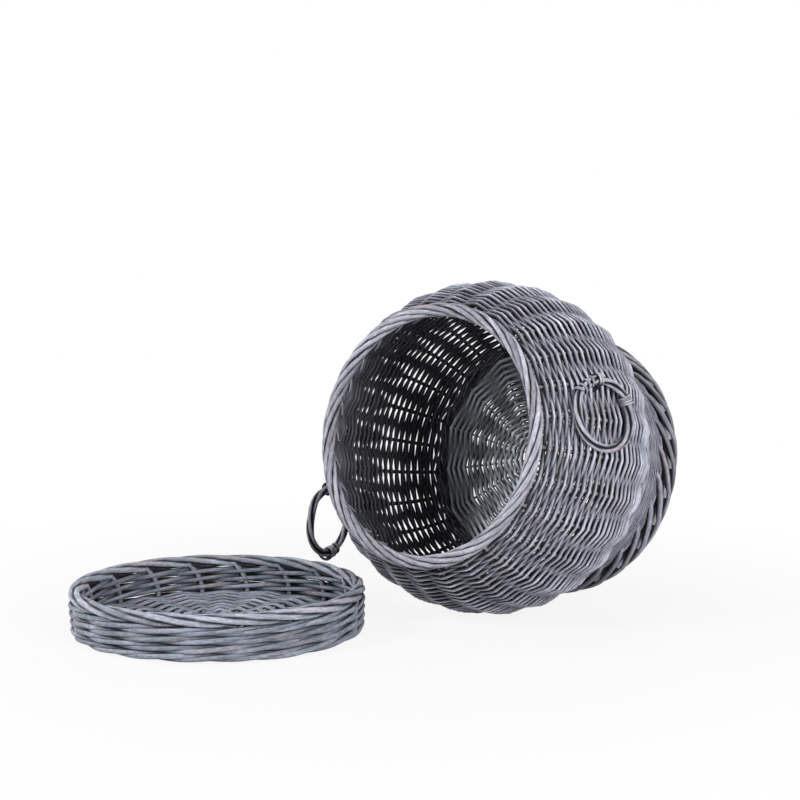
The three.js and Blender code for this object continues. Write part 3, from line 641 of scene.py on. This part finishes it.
# Foot weave: a band of very fine willow, woven tight on the foot's own stakes, so that it
# looks almost smooth. It lifts the base off the floor when the basket stands. Its lowest
# rows lie further in, behind the border's arches, and are painted darker there as shade.
foot_rows = 27
foot_rows_behind = 3
foot_rows_stepping = 8
foot_low = 0.0078
foot_inner = 0.1645
foot_step = 0.0068
foot_taper = 0.0025
foot_runs = []
for row in range(foot_rows):
    above_border = np.clip((row - foot_rows_behind) / foot_rows_stepping, 0.0, 1.0)
    foot_away = foot_inner + foot_step * above_border - foot_taper * row / foot_rows
    # Rows behind the arches are painted darker, as shade.
    foot_wear_and_shade = 0.1 + 0.6 * above_border
    foot_runs.append(fine_row(row, foot_low + row * fine_row_pitch, foot_away, foot_wear_and_shade))
foot_weave = lay_rods("foot_weave_rods", foot_runs, closed=True, rounding=1)
dress(foot_weave, weave_finish, "weave_willow", "basket", "foot_weave")


# Foot border: thick rods that stand inside the foot's band, which is woven on them, come
# out of it in slanting arches, with dark openings between them, and roll round into the
# border that the basket stands on.
foot_border_radius = 0.1735
foot_border_height = 0.0092
foot_ring = 0.0051
foot_rod_radius = 0.0043
foot_core_radius = 0.0042
foot_roll_sweep = -1.15
upright_away = 0.1662
upright_heights = np.linspace(0.0565, 0.0375, 5)
arch_top = 0.035
arch_sweep = -0.38
arch_t = np.linspace(0.0, 1.0, 18)
arch_heights = arch_top - (arch_top - foot_border_height) * (0.35 * arch_t + 0.65 * arch_t ** 1.5)
arch_away = np.interp(arch_t, [0, 0.2, 0.5, 1],
                      [0.1670, 0.1728, 0.1762, foot_border_radius + foot_ring])
foot_border_runs = []
for stake in range(stake_count):
    strand_start = stake * stake_pitch
    upright_angle = np.full(len(upright_heights), strand_start)
    upright = in_basket(upright_away, upright_angle, upright_heights)
    arch_angle = strand_start + arch_sweep * arch_t
    arch = in_basket(arch_away, arch_angle, arch_heights)
    roll, roll_facing = rolled_strand(arch_angle[-1], foot_roll_sweep, foot_border_radius,
                                      foot_border_height, foot_ring, 0.0, math.radians(-300), 34,
                                      in_basket)
    strand = np.concatenate([upright, arch, roll[1:]])
    strand_facing = np.concatenate([-out_from_axis(upright_angle), out_from_axis(arch_angle),
                                    roll_facing[1:]])
    along_strand = np.linspace(0, 1, len(strand))
    strand_radius = np.interp(along_strand, [0, 0.15, 0.8, 1.0], [0.8, 1.0, 0.95, 0.7])
    strand_radius = strand_radius * foot_rod_radius * rods_rng.uniform(0.93, 1.0)
    foot_border_runs.append((strand, strand_radius, 0.72, strand_facing))
# The core inside the roll is painted dark all over, as shade.
foot_border_runs.append((in_basket(foot_border_radius, core_angle, foot_border_height), foot_core_radius,
                         0.0, core_facing))
foot_border = lay_rods("foot_border_rods", foot_border_runs)
dress(foot_border, border_finish, "border_willow", "basket", "foot_border")


# Ring handles: on each side a long thin rod, wound three times round on itself into a
# ring for the hand, hung in a willow loop that is pushed into the wall beside a stake.
# Its tail is twisted round the ring, and a thinner rod is bound over its ends.
ring_radius = 0.044
ring_turns = 3
ring_twists = 5
ring_reach = 0.0032
ring_rod_radius = 0.0026
ring_end = 0.1
tail_starts = {"right": math.radians(14), "left": math.radians(150)}
tail_sweep = 0.62
tail_twists = 3.2
tail_reach = 0.0058
tail_lift = 0.006
tail_free = 0.14
tail_rod_radius = 0.0019
whipping_turns = {"right": math.radians(-70), "left": math.radians(175)}
whipping_winds = 4
whipping_pitch = 0.0031
whipping_reach = 0.0070
whipping_rod_radius = 0.0015
loop_reach = 0.0076
loop_depth = 0.016
loop_leg_start = 0.001
loop_spread = 0.0019
loop_rod_radius = 0.0017
ring_finish = willow_finish("ring_willow_bark", stain=(0.2, 0.207, 0.242), worn_and_lit=(0.34, 0.348, 0.392),
                            bark=(0.25, 0.2, 0.2))
binding_finish = willow_finish("binding_willow_bark", stain=(0.22, 0.224, 0.26),
                               worn_and_lit=(0.43, 0.436, 0.484), bark=(0.24, 0.19, 0.19))
joints = {joint["name"]: joint for joint in frame["record"]["behaviour"]["joints"]}


def across_line(way, line):
    """A way's part at right angles to a line, made one long."""
    way = way - line * (way @ line)
    return way / np.linalg.norm(way)


def ring_frame(side):
    """A ring's hinge, its hinge line, the way it hangs, and the way across its flat side."""
    joint = joints[f"{side}_ring_swing"]
    hinge = np.array(joint["pos_m"], dtype=float)
    line = np.array(joint["axis"], dtype=float)
    line /= np.linalg.norm(line)
    hang = across_line(middle_of(f"{side}_ring_handle") - hinge, line)
    return hinge, line, hang, np.cross(line, hang)


def on_ring(side, radius, turn, across):
    """Points round a ring, with the turn counted from its hinge towards the hinge line."""
    hinge, line, hang, flat = ring_frame(side)
    middle = hinge + ring_radius * hang
    radius, turn, across = np.broadcast_arrays(radius, turn, across)
    return (middle + (radius * np.sin(turn))[:, None] * line + across[:, None] * flat
            - (radius * np.cos(turn))[:, None] * hang)


def wound_on_ring(side, reach, turn, wind):
    """A rod's path as it winds round the middle of a ring's bundle, and the way it faces."""
    path = on_ring(side, ring_radius + reach * np.cos(wind), turn, reach * np.sin(wind))
    facing = path - on_ring(side, ring_radius, turn, 0.0)
    return path, facing / np.linalg.norm(facing, axis=1)[:, None]


for side in ("right", "left"):
    ring_turn = np.linspace(ring_end, 2 * math.pi * ring_turns - ring_end, 72 * ring_turns)
    ring_turn = ring_turn + whipping_turns[side]
    ring_path, ring_facing = wound_on_ring(side, ring_reach, ring_turn,
                                           ring_turn * ring_twists / ring_turns)
    tail_t = np.linspace(0.0, 1.0, 64)
    tail_out = tail_reach + tail_lift * np.clip(tail_t - (1 - tail_free), 0.0, 1.0) / tail_free
    tail_path, tail_facing = wound_on_ring(side, tail_out, tail_starts[side] + tail_sweep * tail_t,
                                           2 * math.pi * tail_twists * tail_t)
    ring_handle = lay_rods(f"{side}_ring_rod", [(ring_path, ring_rod_radius, 0.9, ring_facing),
                                                (tail_path, tail_rod_radius, 0.8, tail_facing)])
    dress(ring_handle, ring_finish, "ring_willow", f"{side}_ring", f"{side}_ring_handle")

    wind_t = np.linspace(0.0, 1.0, 90)
    wind_turn = whipping_turns[side] + (wind_t - 0.5) * whipping_winds * whipping_pitch / ring_radius
    wind_path, wind_facing = wound_on_ring(side, whipping_reach, wind_turn,
                                           2 * math.pi * whipping_winds * wind_t)
    whipping = lay_rods(f"{side}_ring_binding", [(wind_path, whipping_rod_radius, 0.9, wind_facing)])
    dress(whipping, binding_finish, "binding_willow", f"{side}_ring", f"{side}_ring_whipping")

    hinge, line = ring_frame(side)[:2]
    inward = across_line(middle_of(f"{side}_handle_loop") - hinge, line)
    beside = np.cross(line, inward)
    loop_turn = np.linspace(-math.pi / 2, math.pi / 2, 20)
    bend = loop_reach * (np.sin(loop_turn)[:, None] * beside - np.cos(loop_turn)[:, None] * inward)
    leg = np.linspace(loop_leg_start, loop_depth, 6)[:, None] * inward
    loop_runs = []
    for shift in (-loop_spread, loop_spread):
        arc = hinge + line * shift + bend
        loop_path = np.concatenate([arc[0] + leg[::-1], arc, arc[-1] + leg])
        loop_runs.append((loop_path, loop_rod_radius, 0.8, -inward))
    handle_loop = lay_rods(f"{side}_handle_loop_rods", loop_runs)
    dress(handle_loop, binding_finish, "binding_willow", "basket", f"{side}_handle_loop")


# Lid sticks: three slit sticks with three pushed through them, opened out into twelve
# spokes, make the cross of the lid's panel. Eighteen thinner sticks are pushed in round
# them to carry the wider rows. The lid lies upside down on the floor.
lid_middle = middle_of("lid_wale") * np.array([1.0, 1.0, 0.0])
lid_up = np.array([0.0, 0.0, 1.0])
lid_panel_height = 0.0064
lid_sticks_each_way = 3
lid_stick_reach = 0.075
lid_stick_radius = 0.0029
lid_spacing = 0.0062
lid_pitch = math.radians(30)
lid_byes = 18
lid_bye_pitch = 2 * math.pi / lid_byes
lid_bye_places = np.linspace(0.052, 0.176, 12)
lid_bye_radius = 0.0023


def in_lid(radius, angle, height):
    """Points at a distance from the lid's middle, an angle round it and a height above the floor."""
    radius, angle, height = np.broadcast_arrays(radius, angle, height)
    return lid_middle + np.column_stack([radius * np.cos(angle), radius * np.sin(angle), height])


def out_from_lid(angle):
    """The way straight out from the lid's middle, at angles round it."""
    return np.column_stack([np.cos(angle), np.sin(angle), np.zeros(len(angle))])


def lay_lid(x, y, lift):
    """Points on the lid's panel, given from its middle."""
    return in_lid(np.hypot(x, y), np.arctan2(y, x), lid_panel_height + lift)


lid_stick_runs = cross_of_sticks(lid_stick_reach, lid_spacing, lid_pitch, lid_sticks_each_way,
                                 lid_stick_radius, lay_lid, lid_up)
for bye in range(lid_byes):
    bye_path = in_lid(lid_bye_places, (bye + 0.5) * lid_bye_pitch, lid_panel_height)
    lid_stick_runs.append((bye_path, lid_bye_radius, stick_wear_and_shade, lid_up))
lid_sticks = lay_rods("lid_stick_rods", lid_stick_runs)
dress(lid_sticks, stick_finish, "stick_willow", "lid",
      *[f"lid_slit_stick_{k}" for k in range(1, 4)], *[f"lid_through_stick_{k}" for k in range(1, 4)])


# Lid panel: thin rods woven round the spokes from the middle out to the wall, first one by
# one on the twelve spokes, then two by two on the eighteen sticks that are pushed in.
lid_weaver_radius = 0.0026
lid_row_pitch = 0.0044
lid_pairs_start = 0.058
lid_pairs_end = 0.1775
lid_pairs_swing = 0.0036
lid_finish = willow_finish("lid_willow_bark", stain=(0.126, 0.141, 0.174), worn_and_lit=(0.23, 0.252, 0.302),
                           bark=(0.27, 0.21, 0.215))
lid_panel_rows = bundle_rows(first=0.017, count=4, pitch=0.0038, swing=0.0042,
                             radius=lid_weaver_radius, lay=lay_lid, facing=lid_up)
lid_panel_rows += disc_rows(first=0.033, last=lid_pairs_start, pitch=lid_row_pitch, reach=0.1705,
                            spacing=lid_spacing, spread=lid_pitch, per_side=lid_sticks_each_way,
                            swing=0.0038, radius=lid_weaver_radius, lay=lay_lid, facing=lid_up)
for row in range(int((lid_pairs_end - lid_pairs_start) / lid_row_pitch)):
    row_angle = np.linspace(0.0, 2 * math.pi, lid_byes * stroke_points, endpoint=False)
    row_side = kinked(row_angle / lid_bye_pitch - 0.5 + row // 2)
    row_away = lid_pairs_start + row * lid_row_pitch + 0.0006 * np.sin(5 * row_angle + any_phase())
    row_path = in_lid(row_away, row_angle, lid_panel_height + lid_pairs_swing * row_side)
    row_radius = lid_weaver_radius * rods_rng.uniform(0.9, 1.06)
    lid_panel_rows.append((row_path, row_radius, 0.62 + 0.28 * row_side, lid_up))
lid_weave = lay_rods("lid_weave_rods", lid_panel_rows, closed=True)
dress(lid_weave, lid_finish, "lid_willow", "lid", "lid_weave")


# Lid wall: four courses of three rods twisted round the lid's eighteen stakes, each rod in
# front of two stakes and behind the third, so the strokes outside are long.
lid_stake_count = 18
lid_stake_pitch = 2 * math.pi / lid_stake_count
lid_courses = 4
lid_course_pitch = 0.0107
lid_wall_low = 0.0066
lid_wall_height = 0.042
lid_wall_middle = 0.1787
lid_wall_flare = 0.0025
lid_wale_rise = 0.0027
lid_wale_swing = 0.0055
lid_rod_radius = 0.0033
lid_phase = np.linspace(0.0, lid_stake_count, lid_stake_count * stroke_points, endpoint=False)
lid_angle = lid_phase * lid_stake_pitch
lid_wale_runs = []
for course in range(lid_courses):
    for rod in range(wale_rods):
        lid_out, lid_climb = wale_stroke(lid_phase + rod)
        stray = 0.0006 * np.sin(4 * lid_angle + any_phase())
        lid_heights = lid_wall_low + course * lid_course_pitch + lid_wale_rise * lid_climb + stray
        lid_away = (lid_wall_middle + lid_wall_flare * lid_heights / lid_wall_height
                    + lid_wale_swing * lid_out)
        lid_thickness = lid_rod_radius * (1 + 0.1 * np.sin(lid_angle + any_phase()))
        lid_wale_runs.append((in_lid(lid_away, lid_angle, lid_heights), lid_thickness,
                              0.6 + 0.4 * lid_out, out_from_lid(lid_angle)))
# The lid wall's inner face is painted lighter than other weaves' backs, as light inside the lid.
lid_wale = lay_rods("lid_wale_rods", lid_wale_runs, closed=True, within=1.2)
dress(lid_wale, lid_finish, "lid_willow", "lid", "lid_wale")


# Lid border: the lid's stakes rise above the wall, bend over in arches with openings
# under them, and roll along its edge.
lid_border_radius = 0.181
lid_border_height = 0.0515
lid_ring = 0.0049
lid_border_rod_radius = 0.0040
lid_roll_start = 0.13
lid_roll_sweep = 1.45
rise_t = np.linspace(0.0, 1.0, 10)
rise_away = 0.1792 + 0.0005 * rise_t
rise_heights = 0.002 + 0.046 * rise_t
lid_border_runs = []
for stake in range(lid_stake_count):
    stake_angle = stake * lid_stake_pitch
    rise_angle = stake_angle + 0.10 * rise_t ** 3
    rise = in_lid(rise_away, rise_angle, rise_heights)
    roll, roll_facing = rolled_strand(stake_angle + lid_roll_start, lid_roll_sweep, lid_border_radius,
                                      lid_border_height, lid_ring, math.radians(215),
                                      math.radians(-140), 42, in_lid)
    strand = np.concatenate([rise, roll])
    strand_facing = np.concatenate([-out_from_lid(rise_angle), roll_facing])
    along_strand = np.linspace(0, 1, len(strand))
    strand_radius = np.interp(along_strand, [0, 0.3, 0.8, 1.0], [0.95, 1.0, 0.95, 0.45])
    strand_radius = strand_radius * lid_border_rod_radius * rods_rng.uniform(0.93, 1.07)
    # Painted shade low on the rise and at the tip, which tucks under the roll; lighter over the roll, as
    # wear and painted highlight.
    strand_wear_and_shade = np.interp(along_strand, [0, 0.15, 0.22, 0.8, 0.92], [0.55, 0.6, 0.9, 0.9, 0.1])
    lid_border_runs.append((strand, strand_radius, strand_wear_and_shade, strand_facing))
lid_edge_finish = willow_finish("lid_border_bark", stain=(0.18, 0.197, 0.238), worn_and_lit=(0.315, 0.34, 0.4),
                                bark=(0.32, 0.25, 0.25))
lid_border = lay_rods("lid_border_rods", lid_border_runs)
dress(lid_border, lid_edge_finish, "lid_willow", "lid", "lid_border")


# Floor: a plain pale studio floor, one wide flat sheet under the basket and the lid. It
# runs off to white for the camera, and keeps their soft shadow.
bpy.ops.mesh.primitive_plane_add(size=14.0, location=(0.0, 0.0, 0.0))
floor = bpy.context.active_object
floor.name = "studio_floor"
floor_finish = bpy.data.materials.new("pale_floor")
floor_finish.use_nodes = True
floor_nodes, floor_links = floor_finish.node_tree.nodes, floor_finish.node_tree.links
floor_shader = floor_nodes["Principled BSDF"]
floor_shader.inputs["Base Color"].default_value = (0.6, 0.6, 0.6, 1.0)
floor_shader.inputs["Roughness"].default_value = 0.9
floor_white = floor_nodes.new("ShaderNodeEmission")
floor_white.inputs["Strength"].default_value = 1.0


def seen_plainly(nodes, links):
    """A mask that is 1 for what the camera sees, straight or in a glossy or clear surface."""
    rays = nodes.new("ShaderNodeLightPath")
    mirrored = nodes.new("ShaderNodeMath")
    mirrored.operation = "MAXIMUM"
    links.new(rays.outputs["Is Glossy Ray"], mirrored.inputs[0])
    links.new(rays.outputs["Is Transmission Ray"], mirrored.inputs[1])
    seen = nodes.new("ShaderNodeMath")
    seen.operation = "MAXIMUM"
    links.new(rays.outputs["Is Camera Ray"], seen.inputs[0])
    links.new(mirrored.outputs["Value"], seen.inputs[1])
    return seen.outputs["Value"]


floor_place = floor_nodes.new("ShaderNodeTexCoord")
floor_distance = floor_nodes.new("ShaderNodeVectorMath")
floor_distance.operation = "LENGTH"
floor_fade = floor_nodes.new("ShaderNodeMapRange")
floor_fade.interpolation_type = "SMOOTHSTEP"
floor_fade.inputs["From Min"].default_value = 0.35
floor_fade.inputs["From Max"].default_value = 0.95
floor_fade.inputs["To Min"].default_value = 0.88
floor_fade.inputs["To Max"].default_value = 1.0
floor_links.new(floor_place.outputs["Object"], floor_distance.inputs[0])
floor_links.new(floor_distance.outputs["Value"], floor_fade.inputs["Value"])
floor_share = floor_nodes.new("ShaderNodeMath")
floor_share.operation = "MULTIPLY"
floor_links.new(floor_fade.outputs["Result"], floor_share.inputs[1])
floor_mix = floor_nodes.new("ShaderNodeMixShader")
floor_links.new(seen_plainly(floor_nodes, floor_links), floor_share.inputs[0])
floor_links.new(floor_share.outputs["Value"], floor_mix.inputs["Fac"])
floor_links.new(floor_shader.outputs["BSDF"], floor_mix.inputs[1])
floor_links.new(floor_white.outputs["Emission"], floor_mix.inputs[2])
floor_links.new(floor_mix.outputs["Shader"], floor_nodes["Material Output"].inputs["Surface"])
floor.data.materials.append(floor_finish)


# Studio light: a white surround, two soft boxes in front and one above, with weaker ones
# behind and at the left, which keep the back and the left ring readable.
world = bpy.data.worlds.new("white_studio")
bpy.context.scene.world = world
world.use_nodes = True
world_nodes, world_links = world.node_tree.nodes, world.node_tree.links
world_fill = world_nodes["Background"]
world_fill.inputs["Color"].default_value = (1.0, 1.0, 1.0, 1.0)
world_fill.inputs["Strength"].default_value = 0.07
world_white = world_nodes.new("ShaderNodeBackground")
world_white.inputs["Color"].default_value = (1.0, 1.0, 1.0, 1.0)
world_white.inputs["Strength"].default_value = 1.0
world_mix = world_nodes.new("ShaderNodeMixShader")
world_links.new(seen_plainly(world_nodes, world_links), world_mix.inputs["Fac"])
world_links.new(world_fill.outputs["Background"], world_mix.inputs[1])
world_links.new(world_white.outputs["Background"], world_mix.inputs[2])
world_links.new(world_mix.outputs["Shader"], world_nodes["World Output"].inputs["Surface"])


def soft_box(name, place, aim, size, power):
    """A square studio lamp, turned to its aim."""
    lamp = bpy.data.lights.new(name, "AREA")
    lamp.size = size
    lamp.energy = power
    box = bpy.data.objects.new(name, lamp)
    bpy.context.collection.objects.link(box)
    box.location = place
    way = np.array(aim) - np.array(place)
    box.rotation_euler = (math.acos(-way[2] / np.linalg.norm(way)), 0.0,
                          math.atan2(way[1], way[0]) - math.pi / 2)


soft_box("left_light", place=(-0.8, -2.15, 1.5), aim=(0.0, 0.0, 0.15), size=0.7, power=48.0)
soft_box("right_light", place=(2.3, -0.75, 1.1), aim=(0.1, 0.1, 0.15), size=0.9, power=53.0)
soft_box("top_light", place=(0.1, 0.2, 2.5), aim=(0.0, 0.1, 0.1), size=0.9, power=12.0)
soft_box("back_light", place=(-0.9, 2.4, 1.1), aim=(0.1, 0.25, 0.2), size=0.9, power=16.0)
soft_box("side_light", place=(-2.3, -0.7, 0.9), aim=(-0.1, 0.1, 0.15), size=0.7, power=22.0)


# Camera: a long lens at the photograph's angle, a little above the basket. It stands to the
# right of the mouth, so it sees into the basket, along its right side and into the lid.
camera_across = 1.4715
camera_back = 2.2848
camera_height = 0.5843
camera_data = bpy.data.cameras.new("photo_camera")
camera_data.sensor_width = 36.0
camera_data.lens = 87.8
camera = bpy.data.objects.new("photo_camera", camera_data)
bpy.context.collection.objects.link(camera)
camera.location = (basket_foot[0] + camera_across, basket_foot[1] - camera_back, camera_height)
camera.rotation_euler = (math.radians(83.29), 0.0, math.radians(37.64))
bpy.context.scene.camera = camera
bpy.context.scene.view_settings.view_transform = "Standard"
